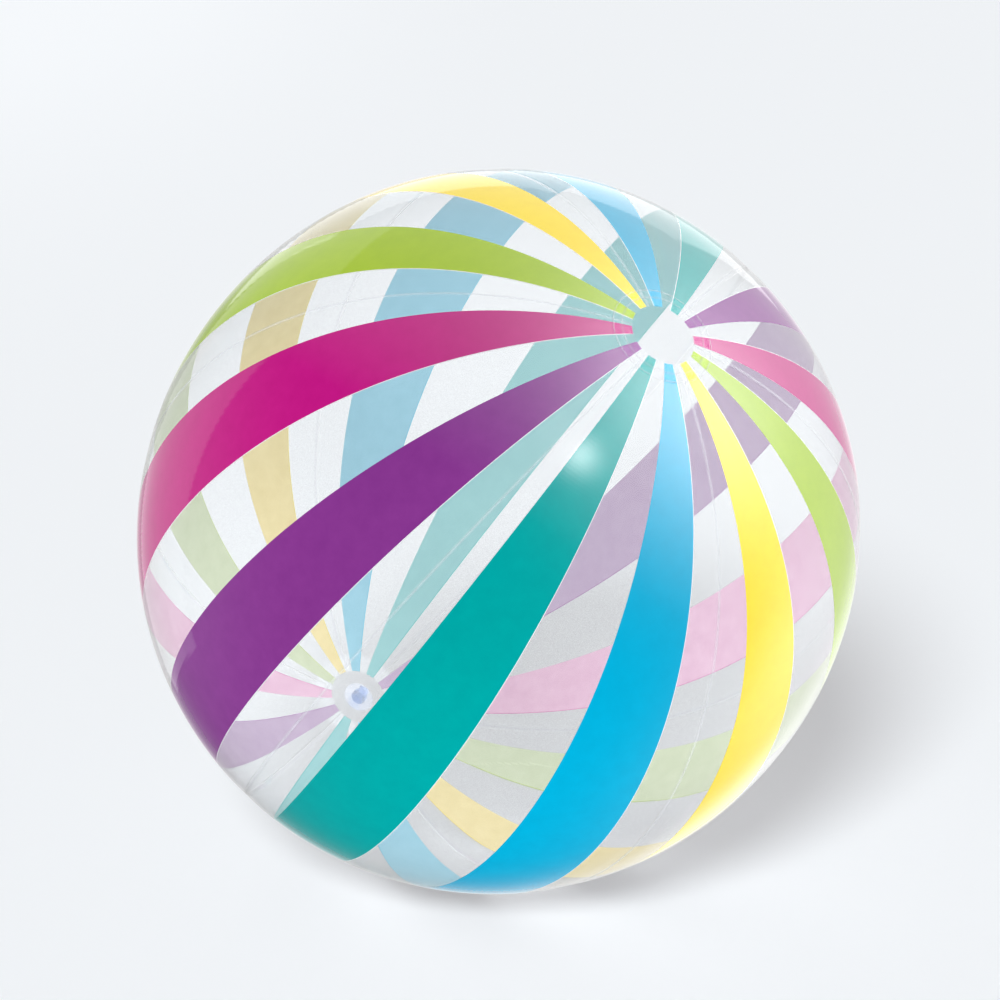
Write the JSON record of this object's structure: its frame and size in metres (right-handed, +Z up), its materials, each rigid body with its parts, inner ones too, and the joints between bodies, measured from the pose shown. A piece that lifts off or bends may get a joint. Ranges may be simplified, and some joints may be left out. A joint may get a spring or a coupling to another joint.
{
  "type": "inflatable beach ball",
  "caption": "Inflated ball of clear vinyl film with coloured stripes printed from pole to pole, round welded end caps and a pop-up stopper valve.",
  "frame": {"origin": "middle of the flat contact patch on which the inflated ball rests", "axes": "+Z up; the polar axis leans, with the plain end cap high towards +X and -Y and the valve end low towards -X and +Y"},
  "size_m": [0.7998, 0.7998, 0.7979],
  "materials": {
    "film_teal_blue": "clear film printed with a teal and a blue stripe",
    "film_yellow_green": "clear film printed with a yellow and a green stripe",
    "film_magenta_purple": "clear film printed with a magenta and a purple stripe",
    "clear_film": "clear glossy film with a welded rim",
    "valve_vinyl": "soft translucent moulded vinyl",
    "plug_vinyl": "soft translucent moulded vinyl"
  },
  "bodies": {
    "ball": {"gore_teal_blue_1": "film_teal_blue", "gore_yellow_green_1": "film_yellow_green", "gore_magenta_purple_1": "film_magenta_purple", "gore_teal_blue_2": "film_teal_blue", "gore_yellow_green_2": "film_yellow_green", "gore_magenta_purple_2": "film_magenta_purple", "end_cap_plain": "clear_film", "end_cap_valve": "clear_film", "valve_flange": "valve_vinyl", "valve_neck": "valve_vinyl"},
    "stem": {"valve_stem": "valve_vinyl"},
    "plug": {"valve_plug": "plug_vinyl", "plug_strap": "plug_vinyl"},
    "flap": {"check_flap": "valve_vinyl"}
  },
  "joints": [
    {"name": "stem_push", "type": "slide", "parent": "ball", "child": "stem", "axis": [-0.4216, 0.5888, -0.6896], "range_m": [-0.008, 0]},
    {"name": "plug_flip", "type": "hinge", "parent": "stem", "child": "plug", "pos_m": [-0.16954, 0.23681, 0.10684], "axis": [-0.8131, -0.5821, 0], "range_deg": [0, 165]},
    {"name": "flap_open", "type": "hinge", "parent": "stem", "child": "flap", "pos_m": [-0.16446, 0.22971, 0.13863], "axis": [-0.8131, -0.5821, 0], "range_deg": [0, 60]}
  ]
}
